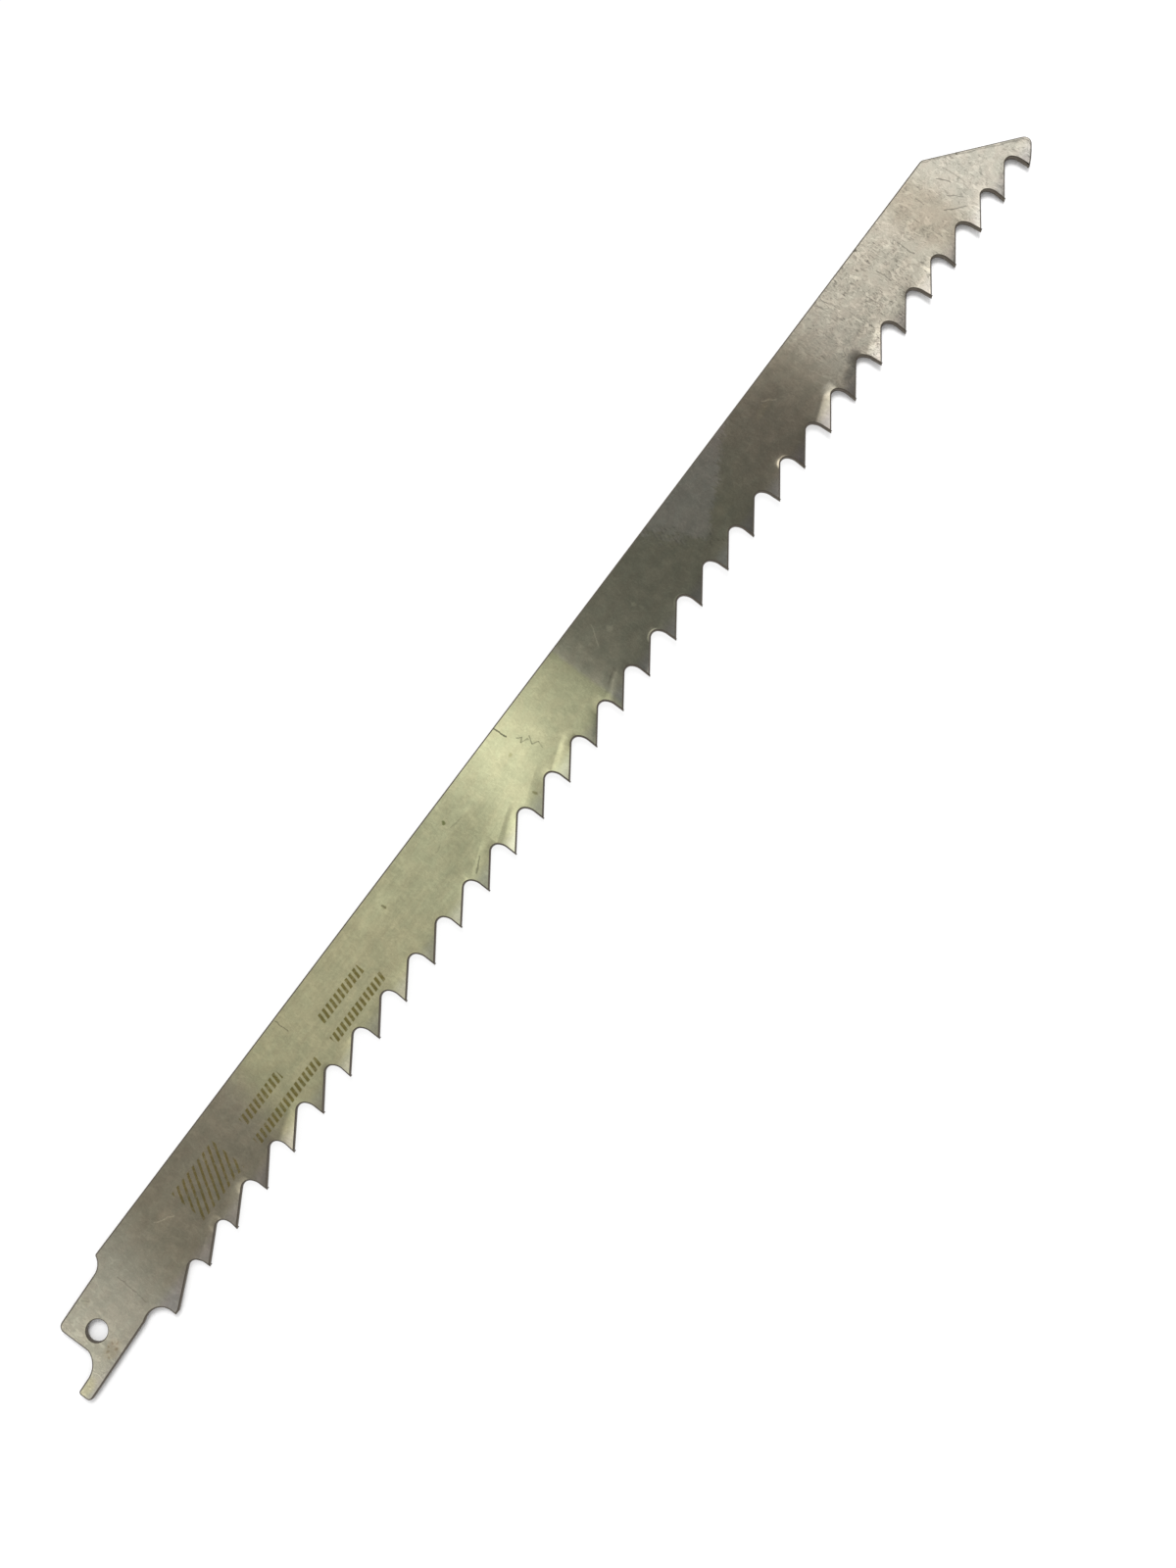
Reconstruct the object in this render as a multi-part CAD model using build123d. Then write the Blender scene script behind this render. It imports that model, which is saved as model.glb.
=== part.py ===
from build123d import *
import math
import os

# Reciprocating saw blade for coarse cutting, in millimetres.
# One piece: a long flat blade, stamped and ground from stainless strip, lying on its side.
# Origin: centre of the shank hole, halfway through the thickness.
# +X runs along the blade towards the nose, the teeth face -Y, +Z is up.

# Blade body
OVERALL_LENGTH = 300.0       # end of the tang to the nose
BLADE_THICKNESS = 1.0
BACK_EDGE_Y = 8.8            # straight back edge, measured from the hole
BLADE_WIDTH = 18.2           # back edge to the line of the tooth tips
NOSE_CHAMFER_ANGLE = 40.8    # sloping front edge against the back edge
NOSE_CORNER_RADIUS = 1.5
NOSE_CORNER_HEIGHT = 3.6     # centre of the nose corner above the tip line
NOSE_UNDERSIDE_ANGLE = 36.0  # slope of the underside where it leaves the nose corner
BACK_CORNER_RADIUS = 1.2     # where the front edge meets the back edge

# Shank, tilted a little against the body so that the teeth lean into the cut
SHANK_TILT = 3.0             # degrees
SHANK_WIDTH = 12.7
SHANK_END = 3.85             # hole centre to the end face of the shank
SHANK_CORNER_RADIUS = 1.3
HOLE_DIAMETER = 4.0
SHOULDER_X = 9.9             # where the back edge begins
SHOULDER_RADIUS = 3.1        # hollow between the shank's upper edge and the back edge
SHOULDER_CORNER_RADIUS = 0.4

# Tang, the narrow tongue that goes deepest into the clamp
TANG_LENGTH = 6.85           # beyond the end face of the shank
TANG_WIDTH = 2.85
TANG_NECK_RADIUS = 4.0
TANG_NECK_TURN = 73.0        # degrees of arc between the tang and the end face
TANG_TOP_CORNER_RADIUS = 0.6
TANG_BOTTOM_CORNER_RADIUS = 0.9

# Teeth, three to the inch, all pointing to the shank
TOOTH_PITCH = 8.5
LAST_TIP_SETBACK = 4.93      # the last tip stands this far behind the end of the nose
TIP_LAND = 0.12              # flat left at each ground tip
HOOK_ANGLE = 1.5             # lean of the cutting face
GULLET_DEPTH = 4.5
ROOT_RADIUS = 1.3            # tight bottom of the gullet
FACE_RADIUS = 3.0            # wider curve that runs on to the cutting face
ROOT_TO_FACE_ANGLE = 33.0    # where one curve hands over to the other
FIRST_GULLET_DEPTH = 3.2     # the gullets deepen over the first few teeth
GULLET_DEPTH_STEP = 0.4

# Blunt first tooth, and the relief between it and the shank
STARTER_FACE_X = 10.9
STARTER_LAND = 1.5           # least length of its flat land
STARTER_DROP = 0.4           # the land stands this far below the tip line
RELIEF_RADIUS = 3.0
RELIEF_BITE = 0.25           # how far the relief cuts into the shank's lower edge
RELIEF_CORNER_RADIUS = 2.0

# Side set: the teeth are bent up and down by turns, along lines that climb with their flanks
SET_OFFSET = 0.4             # sideways shift of a tip
SET_HEIGHT = 2.8             # the bend leaves the cutting face this far above the tip line
SET_BEND_RADIUS = 5.0        # bend of the middle layer of the strip
SET_RUN_OUT = 0.1            # the bend runs out this far below the top of the next gullet

TIP_LINE_Y = BACK_EDGE_Y - BLADE_WIDTH
LAND_LINE_Y = TIP_LINE_Y - STARTER_DROP
HALF_SHANK = SHANK_WIDTH / 2
TILT = math.radians(SHANK_TILT)


def on_circle(centre, radius, degrees):
    """The point of a circle at an angle counted from +X."""
    turn = math.radians(degrees)
    return (centre[0] + radius * math.cos(turn), centre[1] + radius * math.sin(turn))


def shank_point(along, across):
    """A point given along and across the tilted shank, in the blade's own axes."""
    x = along * math.cos(TILT) - across * math.sin(TILT)
    y = along * math.sin(TILT) + across * math.cos(TILT)
    return (x, y)


def rounded(outline, corner, radius):
    """The outline with its corner nearest to a point rounded."""
    return fillet(outline.vertices().sort_by_distance(corner)[0], radius)


def tang_reach():
    """Distance from the hole centre back to the end of the tang, along the blade."""
    corner_along = TANG_TOP_CORNER_RADIUS - SHANK_END - TANG_LENGTH
    corner_across = TANG_WIDTH - HALF_SHANK - TANG_TOP_CORNER_RADIUS
    return TANG_TOP_CORNER_RADIUS - shank_point(corner_along, corner_across)[0]


def nose_end():
    """Place of the far end of the nose along the blade."""
    return OVERALL_LENGTH - tang_reach()


def last_tooth():
    """Number of the tooth at the nose, where the blunt first tooth is number 0."""
    room = nose_end() - LAST_TIP_SETBACK - STARTER_FACE_X - STARTER_LAND
    return math.floor(room / TOOTH_PITCH)


def tip_x(tooth):
    """Place of a tooth's tip along the blade, counted back from the nose."""
    return nose_end() - LAST_TIP_SETBACK - (last_tooth() - tooth) * TOOTH_PITCH


def gullet_depth(gullet):
    """Depth of a gullet above the tip line: full, but for the first few."""
    return min(GULLET_DEPTH, FIRST_GULLET_DEPTH + (gullet - 1) * GULLET_DEPTH_STEP)


def gullet_centres(gullet):
    """Centres of the root curve and the face curve of the gullet in front of a tooth."""
    hook = math.radians(HOOK_ANGLE)
    between = FACE_RADIUS - ROOT_RADIUS
    root_y = TIP_LINE_Y + gullet_depth(gullet) - ROOT_RADIUS
    face_y = root_y - between * math.sin(math.radians(ROOT_TO_FACE_ANGLE))
    straight = face_y - FACE_RADIUS * math.sin(hook) - TIP_LINE_Y
    face_x = tip_x(gullet) + straight * math.tan(hook) - FACE_RADIUS * math.cos(hook)
    root_x = face_x + between * math.cos(math.radians(ROOT_TO_FACE_ANGLE))
    return (root_x, root_y), (face_x, face_y)


def gullet(number):
    """Outline of the gullet in front of a tooth: flank, root, cutting face and an open foot."""
    root, face = gullet_centres(number)
    land = (tip_x(number - 1) + TIP_LAND, TIP_LINE_Y)
    rise = math.atan2(root[1] - land[1], root[0] - land[0])
    flank = rise + math.asin(ROOT_RADIUS / math.dist(land, root))
    flank_normal = math.degrees(flank) + 90
    foot = (land[0] - STARTER_DROP / math.tan(flank), LAND_LINE_Y)
    root_start = on_circle(root, ROOT_RADIUS, flank_normal)
    root_middle = on_circle(root, ROOT_RADIUS, (flank_normal + ROOT_TO_FACE_ANGLE) / 2)
    face_start = on_circle(face, FACE_RADIUS, ROOT_TO_FACE_ANGLE)
    face_middle = on_circle(face, FACE_RADIUS, (ROOT_TO_FACE_ANGLE - HOOK_ANGLE) / 2)
    face_end = on_circle(face, FACE_RADIUS, -HOOK_ANGLE)
    tip = (tip_x(number), TIP_LINE_Y)
    with BuildSketch() as sketch:
        with BuildLine():
            Line(foot, root_start)
            ThreePointArc(root_start, root_middle, face_start)
            ThreePointArc(face_start, face_middle, face_end)
            Polyline(face_end, tip, (tip[0], LAND_LINE_Y), foot)
        make_face()
    return sketch.sketch


def shank():
    """Shank, tang and shoulder, reaching into the body of the blade."""
    tang_top = TANG_WIDTH - HALF_SHANK
    tang_end = -SHANK_END - TANG_LENGTH
    neck_turn = math.radians(TANG_NECK_TURN)
    neck_start = shank_point(-SHANK_END - TANG_NECK_RADIUS * math.sin(neck_turn), tang_top)
    neck_end = shank_point(-SHANK_END, tang_top + TANG_NECK_RADIUS * (1 - math.cos(neck_turn)))
    top_corner = shank_point(-SHANK_END, HALF_SHANK)
    tang_top_corner = shank_point(tang_end, tang_top)
    tang_bottom_corner = shank_point(tang_end, -HALF_SHANK)
    # The shoulder arc leaves the upper edge smoothly and meets the back edge at SHOULDER_X.
    back_start = (SHOULDER_X, BACK_EDGE_Y)
    back_along = SHOULDER_X * math.cos(TILT) + BACK_EDGE_Y * math.sin(TILT)
    step = BACK_EDGE_Y * math.cos(TILT) - SHOULDER_X * math.sin(TILT) - HALF_SHANK
    arc_along = back_along - math.sqrt(step * (2 * SHOULDER_RADIUS - step))
    arc_start = shank_point(arc_along, HALF_SHANK)
    inside = STARTER_FACE_X + HALF_SHANK
    with BuildSketch() as sketch:
        with BuildLine():
            Polyline(tang_bottom_corner, tang_top_corner, neck_start)
            TangentArc(neck_start, neck_end, tangent=shank_point(1, 0))
            Polyline(neck_end, top_corner, arc_start)
            TangentArc(arc_start, back_start, tangent=shank_point(1, 0))
            inner_end = shank_point(inside, -HALF_SHANK)
            Polyline(back_start, (inner_end[0], BACK_EDGE_Y), inner_end, tang_bottom_corner)
        make_face()
    outline = rounded(sketch.sketch, top_corner, SHANK_CORNER_RADIUS)
    outline = rounded(outline, tang_top_corner, TANG_TOP_CORNER_RADIUS)
    outline = rounded(outline, tang_bottom_corner, TANG_BOTTOM_CORNER_RADIUS)
    return rounded(outline, back_start, SHOULDER_CORNER_RADIUS)


def body():
    """The strip with its sloping nose, before the gullets are ground."""
    nose_x = nose_end() - NOSE_CORNER_RADIUS
    nose = (nose_x, TIP_LINE_Y + NOSE_CORNER_HEIGHT)
    slope_start = on_circle(nose, NOSE_CORNER_RADIUS, 90 - NOSE_CHAMFER_ANGLE)
    underside_start = on_circle(nose, NOSE_CORNER_RADIUS, NOSE_UNDERSIDE_ANGLE - 90)
    slope_run = (BACK_EDGE_Y - slope_start[1]) / math.tan(math.radians(NOSE_CHAMFER_ANGLE))
    slope_end = (slope_start[0] - slope_run, BACK_EDGE_Y)
    starter_corner = (STARTER_FACE_X, LAND_LINE_Y)
    last_tip = (tip_x(last_tooth()) + TIP_LAND, TIP_LINE_Y)
    first_tip = (tip_x(1), TIP_LINE_Y)
    land_end = (tip_x(1) - TOOTH_PITCH / 2, LAND_LINE_Y)
    with BuildSketch() as sketch:
        with BuildLine():
            Polyline(starter_corner, (STARTER_FACE_X, BACK_EDGE_Y), slope_end, slope_start)
            ThreePointArc(slope_start, (nose_x + NOSE_CORNER_RADIUS, nose[1]), underside_start)
            TangentArc(underside_start, last_tip, tangent=on_circle((0, 0), 1, 180 + NOSE_UNDERSIDE_ANGLE))
            Polyline(last_tip, first_tip, land_end, starter_corner)
        make_face()
    return rounded(sketch.sketch, slope_end, BACK_CORNER_RADIUS)


def relieved(outline):
    """The outline with the round relief cut between the shank's lower edge and the first tooth."""
    centre_x = STARTER_FACE_X - RELIEF_RADIUS
    lower_edge_y = centre_x * math.tan(TILT) - HALF_SHANK / math.cos(TILT)
    centre_y = lower_edge_y + RELIEF_BITE - RELIEF_RADIUS
    corner = Rectangle(RELIEF_RADIUS, RELIEF_RADIUS, align=Align.MIN)
    outline = outline + Pos(centre_x, centre_y) * corner
    outline = outline - Pos(centre_x, centre_y) * Circle(RELIEF_RADIUS)
    bite_start = centre_x - math.sqrt(RELIEF_BITE * (2 * RELIEF_RADIUS - RELIEF_BITE))
    return rounded(outline, (bite_start, lower_edge_y), RELIEF_CORNER_RADIUS)


def bend_line(tooth):
    """The line that a tooth is bent along, from one gullet to the next."""
    start_x = gullet_centres(tooth)[0][0]
    end_x, root_y = gullet_centres(tooth + 1)[0]
    end_y = root_y + ROOT_RADIUS - SET_RUN_OUT
    climb = (end_y - TIP_LINE_Y - SET_HEIGHT) / (end_x - tip_x(tooth))
    return (start_x, end_y - climb * (end_x - start_x)), (end_x, end_y)


def tooth_cell(tooth):
    """The stretch below the bend line that belongs to one tooth."""
    start, end = bend_line(tooth)
    corners = [start, end, (end[0], LAND_LINE_Y), (start[0], LAND_LINE_Y)]
    return make_face(Polyline(*corners, close=True))


def bent_strip(tooth):
    """The strip on the tip's side of the bend line: up (1) on even teeth, down (-1) on odd ones."""
    start, end = bend_line(tooth)
    climb = math.atan2(end[1] - start[1], end[0] - start[0])
    direction = 1 if tooth % 2 == 0 else -1
    inner = SET_BEND_RADIUS - BLADE_THICKNESS / 2
    outer = SET_BEND_RADIUS + BLADE_THICKNESS / 2
    width = SET_HEIGHT * math.cos(climb)
    reach = math.hypot(width, SET_BEND_RADIUS - SET_OFFSET)
    slope = math.atan2(width, SET_BEND_RADIUS - SET_OFFSET) - math.acos(SET_BEND_RADIUS / reach)
    straight = SET_HEIGHT + GULLET_DEPTH

    def layer(radius, turn, run):
        down = radius * math.sin(turn) + run * math.cos(turn)
        side = SET_BEND_RADIUS - radius * math.cos(turn) + run * math.sin(turn)
        return (-down, direction * side)

    with BuildSketch(Plane.YZ) as section:
        with BuildLine():
            ThreePointArc(layer(inner, 0, 0), layer(inner, slope / 2, 0), layer(inner, slope, 0))
            Polyline(layer(inner, slope, 0), layer(inner, slope, straight), layer(outer, slope, straight))
            Line(layer(outer, slope, straight), layer(outer, slope, 0))
            ThreePointArc(layer(outer, slope, 0), layer(outer, slope / 2, 0), layer(outer, 0, 0))
            Line(layer(outer, 0, 0), layer(inner, 0, 0))
        make_face()
    # Both ends run on past the gullets, so that the slanted strip covers the whole tooth.
    strip = extrude(section.sketch, math.dist(start, end) / 2 + TOOTH_PITCH, both=True)
    middle = ((start[0] + end[0]) / 2, (start[1] + end[1]) / 2)
    return Pos(middle[0], middle[1], 0) * Rot(0, 0, math.degrees(climb)) * strip


def set_tooth(tooth):
    """One tooth below the bend line, ground to shape and bent to its side."""
    outline = tooth_cell(tooth) - gullet(tooth) - gullet(tooth + 1)
    both_sides = extrude(outline, BLADE_THICKNESS + SET_OFFSET + SET_HEIGHT, both=True)
    return both_sides & bent_strip(tooth)


def saw_blade():
    """The whole blade: flat body with its first and last tooth, and the set teeth between them."""
    outline = relieved(shank() + body()) - Circle(HOLE_DIAMETER / 2)
    outline = outline - [gullet(number) for number in range(1, last_tooth() + 1)]
    set_teeth = range(1, last_tooth())
    outline = outline - [tooth_cell(tooth) for tooth in set_teeth]
    blade = extrude(outline, BLADE_THICKNESS / 2, both=True)
    blade = blade + [set_tooth(tooth) for tooth in set_teeth]
    return blade.solid()


os.makedirs("parts", exist_ok=True)
export_step(saw_blade(), "parts/saw_blade.step")
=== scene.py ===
# %% [markdown]
# # A reciprocating saw blade, dressed for its picture
#
# The blade is one strip of thin stainless steel: a shank with a hole for the saw's clamp, a
# straight back, a sloping nose and thirty-three coarse teeth, of which all but the first and the
# last are bent left and right by turns. Its shape comes ready made from the imported model. What is
# left for Blender is how the steel looks: softened edges, a rolled surface with specks and fine
# scratches, painted reflection with a few painted highlights and painted shade, a few etched marks,
# and the light that such bare metal needs to look like metal.

# %% The frame
import math

import bmesh
import bpy
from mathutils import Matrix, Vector


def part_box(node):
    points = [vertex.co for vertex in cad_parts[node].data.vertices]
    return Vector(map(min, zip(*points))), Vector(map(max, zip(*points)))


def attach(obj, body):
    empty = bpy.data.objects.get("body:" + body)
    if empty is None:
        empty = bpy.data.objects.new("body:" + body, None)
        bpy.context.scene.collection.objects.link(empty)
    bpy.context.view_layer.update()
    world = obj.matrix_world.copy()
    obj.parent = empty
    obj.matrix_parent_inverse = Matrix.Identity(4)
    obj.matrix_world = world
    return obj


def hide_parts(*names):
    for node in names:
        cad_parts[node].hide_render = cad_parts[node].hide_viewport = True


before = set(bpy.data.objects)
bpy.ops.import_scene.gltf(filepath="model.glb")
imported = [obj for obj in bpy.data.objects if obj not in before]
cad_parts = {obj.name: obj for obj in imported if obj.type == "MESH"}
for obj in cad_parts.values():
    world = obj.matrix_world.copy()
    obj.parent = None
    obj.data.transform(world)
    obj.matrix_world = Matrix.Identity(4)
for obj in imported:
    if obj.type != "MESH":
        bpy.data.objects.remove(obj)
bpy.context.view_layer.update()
MM = 0.001
low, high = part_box("saw_blade")
print("blade, mm:", [round((b - a) / MM, 2) for a, b in zip(low, high)])

# %% [markdown]
# ## The camera
#
# The picture looks almost straight down on the blade from close by, so the shank and the nose
# are both seen a little from the side. A camera could be aimed with a Track To constraint, but
# three plain angles are easier to read and to change. The lens is given for a frame that is
# 36 mm on its long side, as on a full-size camera.

# %% The camera, above the middle of the blade
CAMERA_PLACE = (117.54, -35.70, 220.91)
CAMERA_TURN = (6.896, 2.415, -53.410)
LENS, SENSOR = 27, 36

lens = bpy.data.cameras.new("camera")
lens.lens = LENS
lens.sensor_width = SENSOR
camera = bpy.data.objects.new("camera", lens)
bpy.context.scene.collection.objects.link(camera)
camera.location = [part * MM for part in CAMERA_PLACE]
camera.rotation_euler = [math.radians(angle) for angle in CAMERA_TURN]
bpy.context.scene.camera = camera
bpy.context.scene.view_settings.view_transform = "Standard"
print("camera stands", round(CAMERA_PLACE[2] - low.z / MM), "mm above the floor")

# %% [markdown]
# ## Writing shaders as sums
#
# A stain or a scratch is easiest to say as a sum: this far along the blade, times that noise.
# Placing the Math nodes one by one would bury the idea, so a small class wraps a node's output
# and lets Python's own signs add the Math nodes. Every other node comes from one method.

# %% A shader under construction
class Shader:
    """The nodes of a material or of the world, emptied and built up again."""

    def __init__(self, owner):
        owner.use_nodes = True
        self.tree = owner.node_tree
        self.tree.nodes.clear()

    def node(self, kind, settings=None, sockets=None):
        """Adds a node: its settings first, then a value or a wire for each socket."""
        made = self.tree.nodes.new("ShaderNode" + kind)
        for name, value in (settings or {}).items():
            if name == "stops":
                fill_ramp(made.color_ramp, value)
            else:
                setattr(made, name, value)
        for name, value in (sockets or {}).items():
            if isinstance(value, Wire):
                self.tree.links.new(value.socket, made.inputs[name])
            else:
                made.inputs[name].default_value = value
        return made

    def wire(self, kind, settings=None, sockets=None, output=0):
        """Adds a node and gives one of its outputs."""
        return Wire(self, self.node(kind, settings, sockets).outputs[output])

    def finish(self, last, kind="OutputMaterial"):
        """Wires the last node into the output of the material or the world."""
        self.tree.links.new(last.outputs[0], self.node(kind).inputs[0])


def fill_ramp(ramp, stops):
    """Gives a colour ramp its stops, each a place and a level of grey."""
    while len(ramp.elements) < len(stops):
        ramp.elements.new(1.0)
    for element, (place, level) in zip(ramp.elements, stops):
        element.position = place
        element.color = grey(level)


class Wire:
    """A node's output that takes part in Python's sums."""

    def __init__(self, shader, socket):
        self.shader, self.socket = shader, socket

    def math(self, operation, other=0.0, swapped=False):
        values = (other, self) if swapped else (self, other)
        return self.shader.wire("Math", {"operation": operation}, dict(enumerate(values)))

    def __add__(self, other):
        return self.math("ADD", other)

    def __sub__(self, other):
        return self.math("SUBTRACT", other)

    def __rsub__(self, other):
        return self.math("SUBTRACT", other, swapped=True)

    def __mul__(self, other):
        return self.math("MULTIPLY", other)

    def __truediv__(self, other):
        return self.math("DIVIDE", other)

    __radd__ = __add__
    __rmul__ = __mul__

    def size(self):
        return self.math("ABSOLUTE")

    def at_least(self, limit):
        return self.math("MAXIMUM", limit)

    def at_most(self, limit):
        return self.math("MINIMUM", limit)

    def rise(self, start, end):
        """0 up to start, 1 from end on, with a soft passage between them."""
        settings = {"interpolation_type": "SMOOTHSTEP"}
        sockets = {"Value": self, "From Min": start, "From Max": end}
        return self.shader.wire("MapRange", settings, sockets)

    def steps(self, base, rises):
        """A level that takes soft steps, each with its start, its end and its height."""
        level = base
        for start, end, step in rises:
            level = self.rise(start, end) * step + level
        return level

    def vector(self, operation, other=(0, 0, 0), output="Vector"):
        """Vector maths, which serves for colours too."""
        return self.shader.wire("VectorMath", {"operation": operation}, {0: self, 1: other}, output)

    def split(self, part):
        """One part of a vector: its X, Y or Z."""
        return self.shader.wire("SeparateXYZ", sockets={0: self}, output=part)

    def scaled(self, factor):
        return self.shader.wire("VectorMath", {"operation": "SCALE"}, {0: self, "Scale": factor})


def blended(shader, factor, first, second):
    """Two colours mixed by a mask."""
    sockets = {0: factor, 6: first, 7: second}
    return shader.wire("Mix", {"data_type": "RGBA"}, sockets, output=2)


def grey(level):
    return (level, level, level, 1.0)


print("shader words ready")

# %% [markdown]
# ## What the steel sees
#
# Bare metal has hardly any colour of its own: it shows the room. In the picture the middle of
# the blade shows something bright and the stretch before the nose shows something dark, and
# each tooth, bent up or down, looks at another part of the ceiling than the flat body does.
# Coloured lamps could fake that, but they would tint the floor. A sky painted as a ceiling
# does part of it: soft light panels with dim gaps between them, grey all over. The rest is
# painted reflection in the steel's colour. Each panel is named by the place on the flat body
# that shows it to a camera over the middle of the blade.

# %% What hangs where on the ceiling
PANELS = [
    # place on the blade in mm, brightness
    (-20, 1.35), (-7, 1.40), (-3, 1.02), (0, 0.93), (8, 0.76), (16, 0.50), (24, 0.43), (40, 0.41),
    (48, 0.49), (56, 0.74), (80, 0.80), (112, 0.84), (120, 0.88), (134, 0.93), (144, 0.86),
    (148.9, 0.80), (150.5, 0.40), (160, 0.31), (170, 0.26), (192, 0.25), (208, 0.27), (216, 0.27),
    (224, 0.50), (232, 0.76), (240, 1.00), (256, 1.14), (264, 1.13), (272, 1.26), (290, 1.28),
]
ACROSS = [
    # how far across the view, share of the brightness
    (-0.60, 0.80), (-0.45, 0.70), (-0.17, 0.72), (0.06, 0.91), (0.15, 0.94), (0.19, 1.0), (0.22, 1.0),
    (0.40, 1.30), (0.70, 1.25),
]
SLANT = [
    # how far along the view, slant of the panels' edges below the body's strip
    (-0.20, 0.46), (0.15, 0.22), (0.21, 0.22), (0.26, 0.42), (0.37, 0.70), (0.45, 0.55),
    (0.60, 0.66), (0.72, 0.66), (0.80, 1.05), (0.88, 1.30),
]
GLOW = [
    # how far across the view, place on the blade of the brightest patch in mm
    (0.12, 117.0), (0.146, 121.0), (0.165, 128.0), (0.20, 129.5), (0.25, 124.5), (0.42, 131.0),
]
print("ceiling with", len(PANELS), "steps of light")

# %% [markdown]
# ### Reading the ceiling
#
# A ray's slope says where it meets the ceiling: how far along the blade and how far across it,
# both as shares of the height from which the camera looks down. Colour ramps turn these two
# numbers into light. The flat body sees only a narrow strip of the ceiling, so all that lies
# beside the strip is there for the bent teeth.

# %% The panels' light
VIEW_MIDDLE, VIEW_HEIGHT = 117.5, 220.4
FLATTEST = 0.05
RAMP_START, RAMP_SPAN, RAMP_TOP = -0.7, 1.6, 2.0
STRIP_START, STRIP_END = 0.13, 0.20
SLANT_BEYOND = 0.70

world = bpy.data.worlds.new("studio")
bpy.context.scene.world = world
sky = Shader(world)
ray = sky.wire("TexCoord", output="Generated")
height = ray.split("Z").at_least(FLATTEST)
along = ray.split("X") / height
across = ray.split("Y") / height


def on_ramp(wire, stops):
    """Reads a ramp whose places and levels may lie outside 0 to 1."""
    scaled = [((place - RAMP_START) / RAMP_SPAN, level / RAMP_TOP) for place, level in stops]
    share = (wire - RAMP_START) / RAMP_SPAN
    return sky.wire("ValToRGB", {"stops": scaled}, {0: share}) * RAMP_TOP


# Beside the strip that the flat body sees, the panels' edges run off at a slant.
lean = (across - STRIP_END).at_least(0.0) * SLANT_BEYOND
lean = lean - (STRIP_START - across).at_least(0.0) * on_ramp(along, SLANT)
shifted = along + lean
panels = on_ramp(shifted, [((place - VIEW_MIDDLE) / VIEW_HEIGHT, level) for place, level in PANELS])
print("panels placed for an eye", VIEW_HEIGHT, "mm above the blade")

# %% A bright patch, and light for the teeth alone
GLOW_CORE, GLOW_EDGE = 0.008, 0.068
GLOW_BASE = 0.18
TEETH_VIEW = 0.25
FIRST_PLACE, FIRST_SLANT, FIRST_HALF = -0.36, 0.6, 0.07
LAST_SLANT = 0.4
LAST_START, LAST_END = (0.37, 0.43), (0.46, 0.64)
BELOW_ALONG, BELOW_ACROSS, BELOW_MORE = (-0.30, -0.19), (-0.10, 0.05), 0.42
NARROW_ALONG, NARROW_ACROSS, NARROW_LESS = (-0.56, -0.46), (0.03, 0.06), 0.6
NARROW_MIDDLE = 0.17
# Each step of light has its start and its end across the view, and its height.
GLOW_STEPS = [(0.0, 0.12, 0.42), (0.30, 0.42, 0.10)]
FIRST_STEPS = [(0.20, 0.26, 0.28), (0.28, 0.40, 0.28)]
LAST_STEPS = [(0.20, 0.24, 0.60), (0.28, 0.40, -0.35)]

# One brighter patch bows across the body. It is placed from the blade's hole, and not from the
# middle of the view, because a ramp has no levels below 0.
bow = on_ramp(across, [(place, middle / VIEW_HEIGHT) for place, middle in GLOW])
patch = (shifted + VIEW_MIDDLE / VIEW_HEIGHT - bow).size()
glow = across.steps(GLOW_BASE, GLOW_STEPS) * (1.0 - patch.rise(GLOW_CORE, GLOW_EDGE))
# Two panels that only the teeth bent up can see, where the body's bright stretches set in.
first = (along + (across - TEETH_VIEW) * FIRST_SLANT - FIRST_PLACE).size()
first = across.steps(0.0, FIRST_STEPS) * (1.0 - first.rise(0.0, FIRST_HALF))
last = along + (across - TEETH_VIEW) * LAST_SLANT
last = across.steps(0.0, LAST_STEPS) * last.rise(*LAST_START) * (1.0 - last.rise(*LAST_END))
# The teeth bent down see a little more light at the shank's end.
below = (1.0 - along.rise(*BELOW_ALONG)) * (1.0 - across.rise(*BELOW_ACROSS)) * BELOW_MORE
# The panel over the shank is narrow, so the first teeth don't show it.
narrow = (1.0 - shifted.rise(*NARROW_ALONG)) * (across - NARROW_MIDDLE).size().rise(*NARROW_ACROSS)
pattern = (panels + glow) * on_ramp(across, ACROSS) * (1.0 + below) + first + last
pattern = pattern * (1.0 - narrow * NARROW_LESS)
print("one patch over the body and two panels for the teeth")

# %% White beyond the ceiling's edge
FADE_ALONG, FADE_ACROSS = (0.8, 1.4), (0.9, 1.4)

beyond = (along.size().rise(*FADE_ALONG) + across.size().rise(*FADE_ACROSS)).at_most(1.0)
strength = pattern + (1.0 - pattern) * beyond
sky.finish(sky.node("Background", sockets={"Color": grey(1.0), "Strength": strength}), "OutputWorld")
print("sky with", len(sky.tree.nodes), "nodes")

# %% [markdown]
# ## The window light and the floor
#
# A sky alone gives almost no shadow. One large soft lamp stands where the picture's light
# comes from, beyond the back edge and towards the nose, and lays the thin shadow that shows
# along the shank and beside the last teeth. In the middle of the picture the paper is so bright
# that the shadow is lost, so there the camera and the metal see it partly as plain white, and so
# they do far away, where no edge of the paper should show. The lamp is hidden from reflections,
# because the ceiling already shows the steel what to see.

# %% One large lamp
LAMP_DIRECTION = (0.46, 0.34, 0.82)
LAMP_DISTANCE = 1.2
LAMP_SIZE = 0.55
LAMP_WATTS = 8.0

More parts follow.
